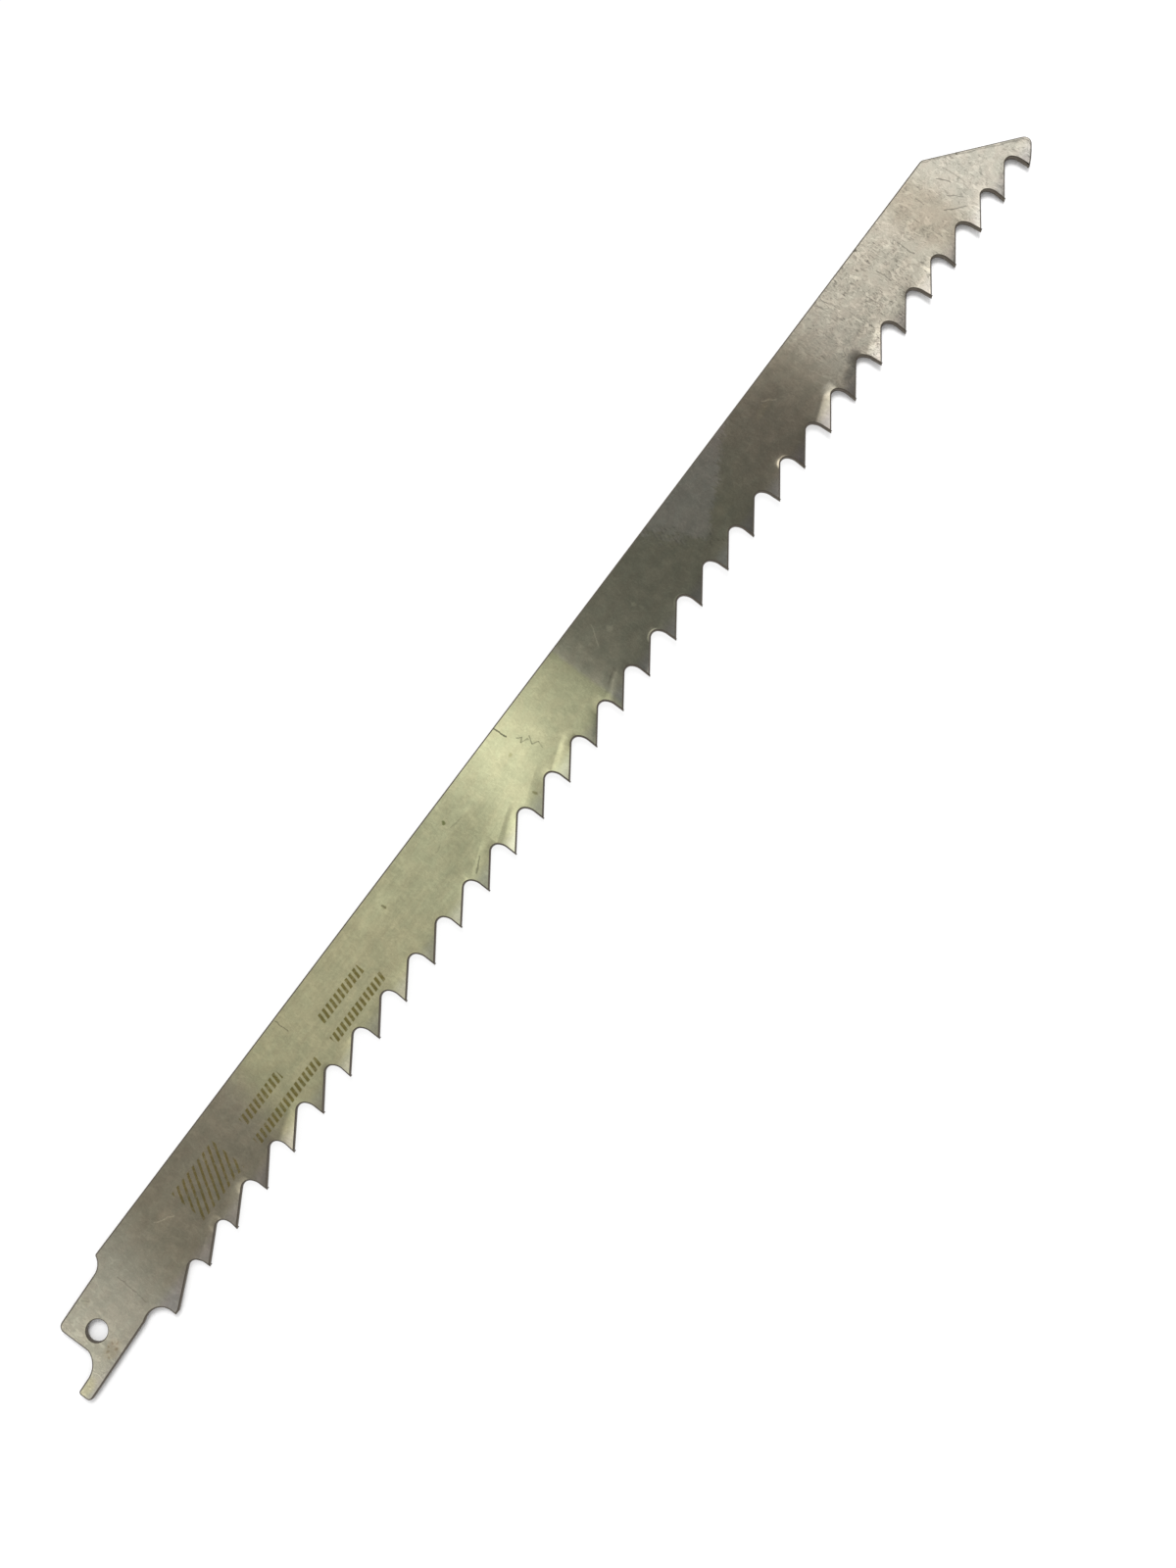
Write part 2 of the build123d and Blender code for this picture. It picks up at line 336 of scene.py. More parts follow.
window = bpy.data.lights.new("window", "AREA")
window.shape = "DISK"
window.size = LAMP_SIZE
window.energy = LAMP_WATTS
lamp = bpy.data.objects.new("window", window)
bpy.context.scene.collection.objects.link(lamp)
aim = Vector(LAMP_DIRECTION).normalized()
middle = (low + high) / 2
lamp.location = middle + aim * LAMP_DISTANCE
lamp.rotation_euler = aim.to_track_quat("Z", "Y").to_euler()
lamp.visible_glossy = False
print("lamp of", LAMP_WATTS, "W,", LAMP_DISTANCE, "m away")

# %% The paper
PAPER_SIZE = 4.0
PAPER_GREY = 0.97
WHITE_SHARE = 0.85
WHITE_UP_TO, SHADE_FROM = 0.088, 0.112
FAR_START, FAR_END = 0.4, 1.0

bpy.ops.object.select_all(action="DESELECT")
bpy.ops.mesh.primitive_plane_add(size=PAPER_SIZE, location=(middle.x, middle.y, low.z))
floor = bpy.context.object
floor.name = "floor"
bpy.ops.object.transform_apply(location=True)
paper = bpy.data.materials.new("white_paper")
sheet = Shader(paper)
spot = sheet.wire("TexCoord", output="Object")
away = (spot.split("X") - VIEW_MIDDLE * MM).size()
reach = spot.vector("LENGTH", output="Value")
share = (1.0 - away.rise(WHITE_UP_TO, SHADE_FROM)) * WHITE_SHARE + reach.rise(FAR_START, FAR_END)
path = sheet.node("LightPath")
looked_at = Wire(sheet, path.outputs["Is Camera Ray"]) + Wire(sheet, path.outputs["Is Glossy Ray"])
share = share.at_most(1.0) * looked_at.at_most(1.0)
matt = sheet.wire("BsdfDiffuse", sockets={"Color": grey(PAPER_GREY)})
white = sheet.wire("Emission", sockets={"Color": grey(1.0), "Strength": 1.0})
sheet.finish(sheet.node("MixShader", sockets={0: share, 1: matt, 2: white}))
floor.data.materials.append(paper)
print("floor at", round(low.z / MM, 3), "mm")

# %% [markdown]
# ## The blade's mesh
#
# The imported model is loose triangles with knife-sharp edges, and it holds each tooth's bend as
# one or two flat facets, which bare metal shows at once. Sculpting them soft by hand would take
# thirty-one rounds of work. It is quicker to press a merged copy of the node back into the flat
# strip that it once was, break its edges while they are simple, and bend the teeth again.

# %% A merged copy of the node, with a slot for each of two skins
SAME_PLACE = 0.001 * MM

steel = bpy.data.materials.new("rolled_stainless")
bare_edge = bpy.data.materials.new("cut_edge")
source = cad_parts["saw_blade"]
blade = bpy.data.objects.new("steel_blade", source.data.copy())
bpy.context.scene.collection.objects.link(blade)
blade.data.materials.clear()
for skin in (steel, bare_edge):
    blade.data.materials.append(skin)
bpy.ops.object.select_all(action="DESELECT")
bpy.context.view_layer.objects.active = blade
blade.select_set(True)
bpy.ops.object.mode_set(mode="EDIT")
bpy.ops.mesh.select_all(action="SELECT")
bpy.ops.mesh.remove_doubles(threshold=SAME_PLACE)
bpy.ops.object.mode_set(mode="OBJECT")
print("merged blade:", len(blade.data.vertices), "corners,", len(blade.data.polygons), "faces")

# %% Flat again: no tooth is bent so far that its lower side crosses the middle
THICKNESS = 1.0
STILL_FLAT = math.radians(0.5)

for corner in blade.data.vertices:
    corner.co.z = math.copysign(THICKNESS / 2 * MM, corner.co.z)
bpy.ops.object.mode_set(mode="EDIT")
bpy.ops.mesh.select_all(action="SELECT")
bpy.ops.mesh.dissolve_limited(angle_limit=STILL_FLAT)
mesh = bmesh.from_edit_mesh(blade.data)
print("flat strip:", len(mesh.verts), "corners,", len(mesh.faces), "faces")

# %% [markdown]
# ### Broken edges
#
# A stamped strip has no knife edges: the press rounds one side a little, and grinding leaves a
# fine burr on the other. In the picture this shows as a thin dark line all round the blade. The
# bevel makes it, and it takes the darker skin of the cut walls with it, a skin that is partly
# painted shade.

# %% The outline's edges bevelled on both faces
EDGE_BREAK = 0.30 * MM
HOLE_BREAK = 0.18 * MM
HOLE_REACH = 3.5 * MM
SAME_LEVEL = 0.10 * MM
BREAK_ROWS = 3
LEVEL = 0.99
HARD_EDGE = math.radians(35)

bpy.ops.mesh.select_mode(type="EDGE")
for width, around_hole in ((EDGE_BREAK, False), (HOLE_BREAK, True)):
    bpy.ops.mesh.select_all(action="DESELECT")
    mesh = bmesh.from_edit_mesh(blade.data)
    for edge in mesh.edges:
        start, end = edge.verts
        level = abs(start.co.z - end.co.z) < SAME_LEVEL and edge.calc_face_angle() > HARD_EDGE
        edge.select = level and (start.co.xy.length < HOLE_REACH) == around_hole
    bmesh.update_edit_mesh(blade.data)
    bpy.ops.mesh.bevel(offset=width, segments=BREAK_ROWS, affect="EDGES")
mesh = bmesh.from_edit_mesh(blade.data)
for face in mesh.faces:
    face.material_index = int(abs(face.normal.z) < LEVEL)
bmesh.update_edit_mesh(blade.data)
print("bevelled strip:", len(mesh.verts), "corners,", len(mesh.faces), "faces")

# %% [markdown]
# ### Where a tooth bends
#
# Each tooth is pressed over by a punch at its tip, and the steel gives way along lines that
# climb from the cutting face to a little above the top of the next gullet. So the bend is not
# one crease but a band, in which the steel tilts more and more towards the relief edge. Each
# tooth's stretch gets a fan of cuts along those lines and a few upright ones where the bend
# dies out above the gullet. The seam between the two skins is kept sharp, or the narrow faces at
# the tips would borrow the slant of the broken edge and flash.

# %% Cuts for the bends
PITCH = 8.5
FIRST_TIP = 12.6
TIP_LINE = -9.4
LAST_SET_TOOTH = 31
SET_OFFSET = 0.4
BEND_CLIMB = math.radians(20)
BEND_REACH = 4.2
FADE_START, FADE_END = 4.9, 8.4
ROW_STEP = 0.35
ROWS = [step * ROW_STEP for step in range(round(BEND_REACH / ROW_STEP) + 1)]
COLUMNS = [4.9, 5.6, 6.3, 6.9, 7.5, 8.0]


def cut(place, normal):
    """Cuts all that isn't hidden along one plane."""
    bpy.ops.mesh.select_all(action="SELECT")
    bpy.ops.mesh.bisect(plane_co=Vector(place) * MM, plane_no=normal)


def hide_all_but(start, end):
    """Leaves only the faces between two places along the blade."""
    bpy.ops.mesh.select_all(action="DESELECT")
    mesh = bmesh.from_edit_mesh(blade.data)
    for face in mesh.faces:
        face.select = start < face.calc_center_median().x / MM < end
    bmesh.update_edit_mesh(blade.data)
    bpy.ops.mesh.hide(unselected=True)


upright = (1, 0, 0)
slanting = (-math.sin(BEND_CLIMB), math.cos(BEND_CLIMB), 0)
bpy.ops.mesh.select_mode(type="FACE")
for tooth in range(1, LAST_SET_TOOTH + 2):
    cut((FIRST_TIP + tooth * PITCH + FADE_END - PITCH, 0, 0), upright)
for tooth in range(1, LAST_SET_TOOTH + 1):
    tip = FIRST_TIP + tooth * PITCH
    hide_all_but(tip + FADE_END - PITCH, tip + FADE_END)
    for row in ROWS:
        cut((tip - row * math.sin(BEND_CLIMB), TIP_LINE + row * math.cos(BEND_CLIMB), 0), slanting)
    for column in COLUMNS:
        cut((tip + column, 0, 0), upright)
    bpy.ops.mesh.reveal(select=False)
mesh = bmesh.from_edit_mesh(blade.data)
for edge in mesh.edges:
    edge.smooth = len({face.material_index for face in edge.link_faces}) == 1
bmesh.update_edit_mesh(blade.data)
bpy.ops.object.mode_set(mode="OBJECT")
print("cut strip:", len(blade.data.vertices), "corners,", len(blade.data.polygons), "faces")

# %% The teeth bent again, even ones up and odd ones down
SMOOTH_UP_TO = math.radians(40)


def set_height(x, y):
    """How far the bends lift the steel at a place, or press it down."""
    tooth = math.floor((x - FIRST_TIP - FADE_END) / PITCH) + 1
    if not 1 <= tooth <= LAST_SET_TOOTH:
        return 0.0
    run = x - FIRST_TIP - tooth * PITCH
    above = (y - TIP_LINE) * math.cos(BEND_CLIMB) - run * math.sin(BEND_CLIMB)
    bent = SET_OFFSET * (1 - min(1.0, max(0.0, above / BEND_REACH))) ** 2
    fade = min(1.0, max(0.0, (FADE_END - run) / (FADE_END - FADE_START)))
    return (1 if tooth % 2 == 0 else -1) * bent * fade * fade * (3 - 2 * fade)


for corner in blade.data.vertices:
    corner.co.z += set_height(corner.co.x / MM, corner.co.y / MM) * MM
bpy.ops.object.shade_smooth_by_angle(angle=SMOOTH_UP_TO)
flatten = blade.modifiers.new("flatten", "WEIGHTED_NORMAL")
flatten.mode = "FACE_AREA"
flatten.keep_sharp = True
bpy.ops.object.modifier_apply(modifier="flatten")
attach(blade, "root")
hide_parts("saw_blade")
print("tip of an even tooth lifted by", round(set_height(FIRST_TIP + 2 * PITCH, TIP_LINE), 2), "mm")

# %% [markdown]
# ## The steel
#
# Rolled stainless is close to a mirror that somebody used. It is mottled like orange peel, and it
# carries hairlines, nicks and dull specks. Its colour also holds painted light: the tints from
# stretch to stretch are painted reflection of the ceiling's panels at part of their strength, and
# a few spots, arcs and lines are painted highlights and painted shade around bent teeth and along
# edges. One noise for it all would look the same everywhere. So what differs from place to place
# is written as tables in millimetres on the blade, and short functions turn each line of them
# into a mask between 0 and 1.

# %% What lies where on the blade
# Painted reflection: each tint stands for the bright or dim ceiling panel that this stretch of steel
# shows.
PAINTED_REFLECTIONS = [
    # place along the blade, width of the passage, tint that takes over from there
    (15.0, 14.0, (0.418, 0.376, 0.272)),
    (49.0, 9.0, (0.460, 0.440, 0.268)),
    (95.0, 20.0, (0.452, 0.452, 0.278)),
    (149.8, 1.2, (0.405, 0.395, 0.290)),
    (200.0, 20.0, (0.435, 0.388, 0.295)),
    (227.0, 14.0, (0.535, 0.495, 0.405)),
    (270.0, 12.0, (0.545, 0.515, 0.435)),
]
# The painted reflection's tint on the shank, before the first passage.
SHANK_TINT = (0.440, 0.417, 0.325)
# Specks and stains, and a few spots of painted highlight and painted shade beside bent teeth.
SPOTS_AND_PAINTED_LIGHT = [
    # middle, half sizes, tint that multiplies the steel's
    ((-9.0, -4.5), (2.8, 2.0), (1.10, 1.10, 0.95)),
    ((-0.8, -4.3), (2.4, 1.6), (0.95, 0.90, 0.85)),
    ((-1.6, -4.0), (0.35, 0.3), (0.72, 0.67, 0.61)),
    ((-0.2, -4.8), (0.45, 0.3), (0.74, 0.68, 0.62)),
    ((0.2, -3.6), (0.25, 0.3), (0.74, 0.69, 0.64)),
    ((-0.9, -3.4), (0.25, 0.25), (0.72, 0.68, 0.62)),
    ((-2.3, -4.7), (0.25, 0.2), (0.75, 0.70, 0.64)),
    ((0.7, -4.4), (0.3, 0.2), (0.78, 0.73, 0.68)),
    ((2.7, 5.0), (0.8, 1.0), (0.92, 0.92, 0.89)),
    ((22.5, 2.5), (2.6, 1.6), (1.16, 1.13, 1.12)),
    ((48.5, -5.4), (1.2, 0.9), (1.14, 1.12, 1.10)),
    ((92.0, 4.8), (0.5, 0.7), (0.72, 0.70, 0.62)),
    ((91.0, 5.5), (6.0, 3.0), (1.10, 1.12, 1.12)),
    ((111.2, 5.3), (0.45, 0.6), (0.42, 0.46, 0.32)),
    ((126.1, -5.2), (0.4, 0.6), (0.62, 0.60, 0.50)),
    ((129.1, 3.0), (0.6, 0.5), (0.78, 0.78, 0.70)),
    ((160.0, 2.2), (0.9, 0.8), (1.20, 1.20, 1.20)),
    ((166.5, 1.4), (0.5, 0.5), (1.22, 1.22, 1.20)),
    ((167.0, -0.6), (0.4, 1.2), (1.15, 1.15, 1.14)),
    ((181.4, 4.2), (0.7, 0.6), (1.14, 1.13, 1.12)),
    # Painted highlight and painted shade: the next four light the tooth tipped at 216.6 mm, bent up,
    # and darken the next one, bent down, further up the blade than their bends show.
    ((219.6, -6.6), (3.6, 3.0), (1.12, 1.17, 1.20)),
    ((223.4, -3.9), (2.4, 1.4), (1.40, 1.42, 1.46)),
    ((228.8, -5.4), (2.4, 1.1), (0.68, 0.69, 0.71)),
    ((231.8, -3.9), (2.2, 1.3), (0.70, 0.70, 0.71)),
    ((112.5, -0.8), (9.0, 5.0), (0.87, 0.87, 0.86)),
    ((285.3, -7.9), (1.6, 1.0), (0.82, 0.82, 0.83)),
    ((192.0, -1.2), (7.0, 1.6), (1.10, 1.08, 1.06)),
    ((213.0, 4.0), (3.2, 1.0), (1.12, 1.10, 1.06)),
    ((250.2, 8.7), (0.45, 0.75), (0.28, 0.28, 0.26)),
    ((260.4, 8.8), (0.4, 0.5), (0.35, 0.33, 0.30)),
    # Painted shade: a darker stretch around the tooth tipped at 259.1 mm, bent down.
    ((264.3, 1.5), (6.5, 14.0), (0.86, 0.83, 0.80)),
    ((278.5, 3.8), (0.35, 0.35), (0.40, 0.38, 0.34)),
]
GLINT_ARCS = [
    # top of a gullet along the blade, strength of the painted highlight along its rim
    (163.9, 1.0), (172.4, 0.35), (206.4, 1.1),
]
# Hairlines, and a few painted lines of shade.
HAIRLINES_AND_SHADE_LINES = [
    # one end, other end, half width, strength
    ((272.0, 4.0), (272.9, 1.25), 0.10, 0.55),
    ((274.5, 4.5), (274.5, -0.75), 0.08, 0.35),
    ((267.0, -1.0), (270.25, -4.0), 0.10, 0.50),
    ((270.25, 0.25), (271.75, -2.5), 0.09, 0.45),
    ((266.0, 5.0), (266.0, 3.0), 0.10, 0.35),
    ((256.25, 2.75), (256.25, -1.5), 0.12, 0.45),
    ((249.0, 2.5), (249.0, -1.0), 0.10, 0.40),
    ((237.9, 8.5), (237.9, 6.5), 0.10, 0.50),
    ((243.5, 1.0), (243.6, -2.2), 0.10, 0.30),
    ((131.3, 8.6), (131.45, 5.75), 0.14, 0.75),
    ((132.4, 3.9), (133.1, 3.3), 0.13, 0.40),
    ((133.1, 3.3), (132.3, 2.7), 0.12, 0.45),
    ((132.3, 2.7), (133.6, 1.9), 0.12, 0.35),
    ((134.2, 2.1), (133.4, 0.9), 0.12, 0.45),
    ((133.4, 0.9), (134.3, 0.1), 0.12, 0.40),
    ((134.3, 0.1), (134.0, -1.2), 0.09, 0.25),
    ((111.5, 3.5), (114.0, 3.2), 0.14, 0.20),
    ((105.8, 3.0), (107.2, 3.1), 0.12, 0.18),
    ((63.1, 8.25), (63.1, 5.0), 0.09, 0.45),
    ((2.3, 5.6), (3.0, 4.5), 0.09, 0.30),
    ((9.5, 3.0), (9.5, -4.0), 0.10, 0.25),
    ((107.5, -5.5), (110.25, -4.0), 0.14, 0.45),
    ((92.0, 5.2), (92.0, 4.5), 0.14, 0.40),
    # Painted shade that dims a bright streak beside the bend of the tooth tipped at 148.6 mm.
    ((149.9, -4.9), (154.2, -3.2), 0.36, 0.24),
    # Painted shade: dark lines along the nose's slanted edge and round its tip, where its dark wall
    # shows.
    ((273.2, 8.35), (288.5, -5.1), 0.15, 0.32),
    ((288.5, -5.1), (289.0, -6.1), 0.15, 0.32),
    ((289.0, -6.1), (288.5, -7.0), 0.15, 0.30),
    ((288.5, -7.0), (285.6, -8.6), 0.12, 0.20),
    ((21.0, 3.5), (24.0, 1.5), 0.12, -0.30),
    ((156.0, 2.0), (158.5, 5.5), 0.10, -0.30),
    ((214.0, 5.2), (216.0, 3.2), 0.14, -0.35),
]
print(len(PAINTED_REFLECTIONS), "painted_reflection_tints,", len(SPOTS_AND_PAINTED_LIGHT), "spots,", len(GLINT_ARCS + HAIRLINES_AND_SHADE_LINES), "fine lines")

# %% Places on the blade, in millimetres
TREMBLE_SIZE, TREMBLE = 0.8, 0.9
TOP_START, TOP_END = 0.0, 0.08

metal = Shader(steel)
in_mm = metal.wire("TexCoord", output="Object").scaled(1 / MM)
flat_x, flat_y = [in_mm.split(part) for part in "XY"]
# A spot or a line that is read at a trembling place gets an uneven edge.
cloud = {"Vector": in_mm, "Scale": TREMBLE_SIZE, "Detail": 2.0}
tremble = metal.wire("TexNoise", sockets=cloud, output="Color").vector("SUBTRACT", (0.5, 0.5, 0.5))
drawn = in_mm.vector("ADD", tremble.vector("MULTIPLY", (TREMBLE, TREMBLE, 0.0)))
x, y, z = [drawn.split(part) for part in "XYZ"]
on_top = z.rise(TOP_START, TOP_END)
print("places ready")

# %% Masks for spots, painted highlights along arcs, hairlines and painted lines of shade
SPOT_CORE, SPOT_EDGE = 0.45, 1.1
GULLET_MIDDLE, ARC_RADIUS = -6.2, 1.72
ARC_CORE, ARC_EDGE = 0.05, 0.30
ARC_START, ARC_END = 0.5, 1.4
LINE_CORE, LINE_EDGE = 0.4, 1.8


def spot_mask(middle, half):
    """A soft ellipse."""
    apart = drawn.vector("SUBTRACT", (*middle, 0)).vector("MULTIPLY", (1 / half[0], 1 / half[1], 0))
    return (1.0 - apart.vector("LENGTH", output="Value").rise(SPOT_CORE, SPOT_EDGE)) * on_top


def glint_arc_mask(middle):
    """A painted highlight: a thin bright line along the round top of a gullet, where its rounded edge
    catches the light.
    """
    apart = in_mm.vector("SUBTRACT", (middle, GULLET_MIDDLE, 0)).vector("MULTIPLY", (1, 1, 0))
    off = (apart.vector("LENGTH", output="Value") - ARC_RADIUS).size()
    round_top = (flat_y - GULLET_MIDDLE).rise(ARC_START, ARC_END)
    return (1.0 - off.rise(ARC_CORE, ARC_EDGE)) * round_top * on_top


def hairline_or_shade_mask(start, end, half_width):
    """A hairline or a painted line of shade: how near a place is to the line between two ends."""
    begin = Vector((*start, 0))
    run = Vector((*end, 0)) - begin
    apart = drawn.vector("SUBTRACT", begin).vector("MULTIPLY", (1, 1, 0))
    share = apart.vector("DOT_PRODUCT", run / run.length_squared, output="Value")
    share = share.at_least(0.0).at_most(1.0)
    foot = metal.wire("VectorMath", {"operation": "SCALE"}, {0: run, "Scale": share})
    off = apart.vector("DISTANCE", foot, output="Value")
    return (1.0 - off.rise(half_width * LINE_CORE, half_width * LINE_EDGE)) * on_top


print("masks ready")

# %% [markdown]
# ### The etched marks
#
# Four plain rows of slanting strokes and one hatched field are etched in brown on the upper
# face, near the shank. Cutting them into the mesh would take hundreds of faces for a depth that
# nobody sees, so they are colour alone. Both come from one idea: the distance into a repeat, cut
# off by a box.

# %% Rows of strokes and a hatched field
MARK_ROWS = [
    # start and end along the blade, middle line, half height
    (45.0, 56.0, 1.6, 1.0), (43.8, 62.4, -2.7, 0.95), (68.3, 80.4, 1.4, 1.0), (66.8, 82.2, -2.8, 0.9),
]
FIELD = (27.0, 39.0, 0.3, 3.9)
# Pitch, half width and slant of the strokes.
ROW_STROKES = (1.15, 0.31, 0.25)
FIELD_STROKES = (1.5, 0.30, 0.60)
STROKE_TREMBLE = 0.15
SOFT_EDGE, STROKE_FADE = 0.1, 0.12
ETCHED = (0.42, 0.38, 0.21)
WEAR = 0.3


def boxed(start, end, line, half):
    """1 inside a box, with edges as soft as an etched one's."""
    length = (end - start) / 2
    outside_x = (flat_x - (start + end) / 2).size().rise(length - SOFT_EDGE, length + SOFT_EDGE)
    outside_y = (flat_y - line).size().rise(half - SOFT_EDGE, half + SOFT_EDGE)
    return (1.0 - outside_x) * (1.0 - outside_y)


def strokes(pitch, half_width, slant):
    """Slanting lines a pitch apart, which tremble a little."""
    turned = (flat_x - flat_y * slant + (x - flat_x) * STROKE_TREMBLE) / pitch
    off = (turned.math("FRACT") - 0.5).size() * pitch
    return 1.0 - off.rise(half_width - SOFT_EDGE, half_width + STROKE_FADE)


def noise(scale, detail, stretch=(1, 1, 1), **more):
    """A cloud from 0 to 1, with its size given per millimetre and stretched if asked."""
    sockets = {"Vector": in_mm.vector("MULTIPLY", stretch), "Scale": scale, "Detail": detail}
    sockets.update({name.capitalize(): value for name, value in more.items()})
    return metal.wire("TexNoise", sockets=sockets)


rows = boxed(*MARK_ROWS[0])
for row in MARK_ROWS[1:]:
    rows = rows + boxed(*row)
etched = rows * strokes(*ROW_STROKES) + boxed(*FIELD) * strokes(*FIELD_STROKES)
worn = noise(1.4, detail=2.0).rise(0.30, 0.52) * WEAR + (1.0 - WEAR)
etched = etched * worn * on_top
print(len(MARK_ROWS), "rows of strokes and one field")

# %% [markdown]
# ### The skin
#
# The colour is a row of tints that pass into each other from the shank to the nose: painted
# reflections of the ceiling's bright and dim panels, at part of their strength. Over it lies
# the mottling, in clouds of different size: soft patches all over, upright squiggles that are
# strongest near the nose, and fine streaks along the middle of the blade, where the rolling
# shows. A table says how strong each cloud is and where, which is easier to tune than a long
# sum. A thin film before the nose is lighter and bluer, and so is the ground steel of the teeth.

# %% Tints from the shank to the nose, a painted reflection
TINT_LEAN = -0.25
STRAIGHT_BORDER = 2.0
COOL, WARM = (0.993, 1.003, 1.0), (1.015, 0.995, 0.99)


def coloured(colour):
    return (*colour, 1.0)


tint = coloured(SHANK_TINT)
# Painted reflection, laid in passage by passage from the shank to the nose.
for place, width, colour in PAINTED_REFLECTIONS:
    border = x + y * TINT_LEAN if width > STRAIGHT_BORDER else x
    passage = border.rise(place - width / 2, place + width / 2)
    tint = blended(metal, passage, tint, coloured(colour))
hue = noise(0.5, detail=2.0, stretch=(0.7, 1, 1)).rise(0.38, 0.62)
tint = tint.vector("MULTIPLY", blended(metal, hue, coloured(COOL), coloured(WARM)))
print("tints from", PAINTED_REFLECTIONS[0][0], "mm to", PAINTED_REFLECTIONS[-1][0], "mm")

# %% Clouds of different size, and where they are strong
PLAIN_SHADE = 1.03
PEEL_LINES = 22.0
PATCH_SHARE = 0.6
# Each step has its start and its end along the blade, and its height.
NOSE_STEPS = [(220.0, 234.0, 1.4), (248.0, 266.0, -0.5)]
TANG_STEPS = [(-4.0, 10.0, -1.0)]
MIDDLE_STEPS = [(52.0, 66.0, 1.0), (100.0, 150.0, -1.0)]

soft = noise(0.35, detail=3.0)
speckle = noise(2.6, detail=2.0)
streaks = noise(1.0, detail=3.0, stretch=(0.18, 1.6, 1))
grain = noise(2.4, detail=2.0, stretch=(1, 0.3, 1)).rise(0.56, 0.70)
peel = noise(1.25, detail=4.0, stretch=(1, 0.5, 1), distortion=0.9)
flecks = peel.rise(0.60, 0.72)
squiggles = 1.0 - ((peel - 0.5).size() * PEEL_LINES).at_most(1.0)
patches = noise(0.22, detail=1.0).rise(0.35, 0.55)

near_nose = flat_x.steps(0.0, NOSE_STEPS) * (patches * PATCH_SHARE + (1.0 - PATCH_SHARE))
near_tang = flat_x.steps(1.0, TANG_STEPS)
in_middle = flat_x.steps(0.0, MIDDLE_STEPS)
MOTTLING = [
    # cloud, its strength all over, and where it is stronger
    (soft - 0.5, 0.40, []),
    (speckle - 0.5, 0.26, []),
    (streaks - 0.5, 0.0, [(in_middle, 0.32)]),
    (grain, -0.05, [(near_nose, -0.22)]),
    (peel - 0.5, 0.36, [(near_nose, 0.25), (near_tang, 0.45)]),
    (flecks, 0.03, [(near_nose, 0.08)]),
    (squiggles, -0.07, [(near_nose, -0.24), (near_tang, -0.10)]),
]
shade = PLAIN_SHADE
for cloud, strength, stronger in MOTTLING:
    for where, more in stronger:
        strength = where * more + strength
    shade = cloud * strength + shade
print(len(MOTTLING), "clouds")

# %% The thin film, and the tint of the ground teeth
FILM_LEFT, FILM_RIGHT = (188.0, 192.0), (195.0, 198.0)
FILM_LEFT_LEAN, FILM_RIGHT_LEAN = 0.6, -1.85
FILM_RAGGED = 12.0
FILM_TINT = (1.26, 1.25, 1.42)
TICK_STROKES = (0.9, 0.2, 0.5)
TICK_STRENGTH, TICK_RIGHT_SHARE = 0.8, 0.6
GROUND_UP_TO, ROLLED_FROM = -7.8, -5.0
GROUND_TINT, GROUND_NOSE_TINT = (1.0, 1.01, 1.20), (1.0, 1.0, 1.07)
NOSE_TINT_START, NOSE_TINT_END = 216.0, 232.0

ragged = noise(0.8, detail=4.0, stretch=(1.5, 0.5, 1), roughness=0.8) * FILM_RAGGED
film_left = (x + y * FILM_LEFT_LEAN + ragged).rise(*FILM_LEFT)
film_right = 1.0 - (x + y * FILM_RIGHT_LEAN + ragged).rise(*FILM_RIGHT)
film = film_left * film_right * on_top
ticks = film_left * (1.0 - film_left) + film_right * (1.0 - film_right) * TICK_RIGHT_SHARE
ticks = ticks * strokes(*TICK_STROKES) * noise(1.2, detail=1.0).rise(0.42, 0.55)
shade = shade - ticks * on_top * TICK_STRENGTH
tint = tint.vector("MULTIPLY", blended(metal, film, grey(1.0), coloured(FILM_TINT)))
to_nose = flat_x.rise(NOSE_TINT_START, NOSE_TINT_END)
bluish = blended(metal, to_nose, coloured(GROUND_TINT), coloured(GROUND_NOSE_TINT))
ground = 1.0 - flat_y.rise(GROUND_UP_TO, ROLLED_FROM)
tint = tint.vector("MULTIPLY", blended(metal, ground, grey(1.0), bluish))
print("film and ground teeth tinted")

# %% Spots, fine lines, painted highlights, painted shade and etched marks laid over it
for middle, half, colour in SPOTS_AND_PAINTED_LIGHT:
    shown = blended(metal, spot_mask(middle, half), grey(1.0), coloured(colour))
    tint = tint.vector("MULTIPLY", shown)
# Painted highlights along the rims of three gullets.
for middle, strength in GLINT_ARCS:
    shade = shade * (1.0 + glint_arc_mask(middle) * strength)
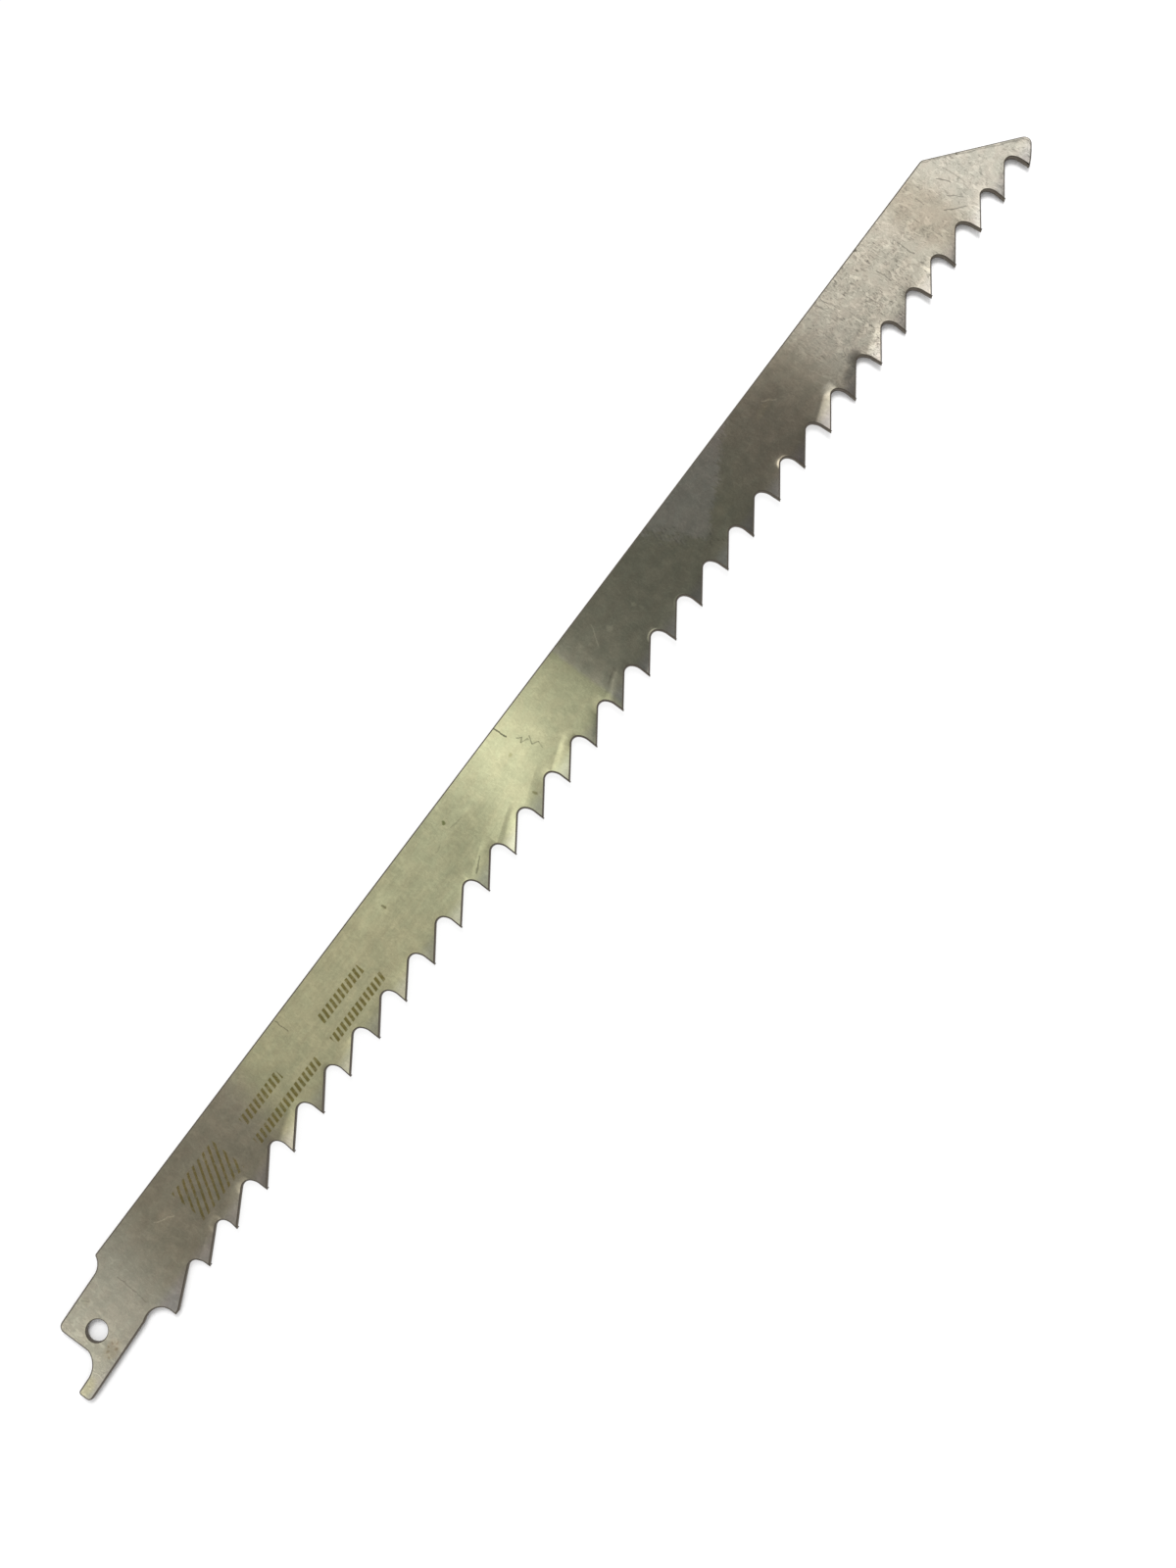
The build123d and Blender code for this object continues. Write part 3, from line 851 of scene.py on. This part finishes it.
# Hairlines and painted lines of shade darken the steel, and a negative strength lightens it.
for start, end, half_width, strength in HAIRLINES_AND_SHADE_LINES:
    shade = shade * (1.0 - hairline_or_shade_mask(start, end, half_width) * strength)
tint = tint.vector("MULTIPLY", blended(metal, etched, grey(1.0), coloured(ETCHED)))
print("colour made of", len(metal.tree.nodes), "nodes")

# %% Roughness and the finest relief
SMOOTHEST = 0.075
SOFT_ROUGH, NOSE_ROUGH, SQUIGGLE_ROUGH, ETCHED_ROUGH = 0.05, 0.03, 0.05, 0.25
RELIEF_SHARE, RELIEF_DEPTH = 0.10, 0.01 * MM

rough = SMOOTHEST + (soft - 0.5) * SOFT_ROUGH + near_nose * NOSE_ROUGH
rough = rough + squiggles * near_nose * SQUIGGLE_ROUGH + etched * ETCHED_ROUGH
relief = {"Strength": RELIEF_SHARE, "Distance": RELIEF_DEPTH, "Height": peel}
metal.finish(metal.node("BsdfPrincipled", sockets={
    "Base Color": tint.scaled(shade), "Metallic": 1.0, "Roughness": rough,
    "Normal": metal.wire("Bump", sockets=relief)}))
print("steel with", len(metal.tree.nodes), "nodes")

# %% [markdown]
# ### The cut walls
#
# Stamping and grinding leave the walls and the broken edges dull. Their very dark tint is partly
# that and partly painted shade, for the dark line that the rounded edges and the walls show where
# they reflect darker parts of the room. Fine upright scores run through the thickness.

# %% The darker skin of walls and edges, partly painted shade
# Dull cut steel, darkened further as painted shade.
EDGE_TINT = (0.125, 0.108, 0.088)
SCORES_PER_METRE = (6000, 6000, 900)
DARKEST, SCORE_CONTRAST = 0.7, 0.6
EDGE_ROUGH, SCORE_ROUGH = 0.42, 0.2

walls = Shader(bare_edge)
squeezed = walls.wire("TexCoord", output="Object").vector("MULTIPLY", SCORES_PER_METRE)
scores = walls.wire("TexNoise", sockets={"Vector": squeezed, "Scale": 1.0, "Detail": 2.0})
dull = {0: EDGE_TINT, "Scale": scores * SCORE_CONTRAST + DARKEST}
walls.finish(walls.node("BsdfPrincipled", sockets={
    "Base Color": walls.wire("VectorMath", {"operation": "SCALE"}, dull), "Metallic": 1.0,
    "Roughness": (scores - 0.5) * SCORE_ROUGH + EDGE_ROUGH}))
print("walls:", EDGE_TINT)
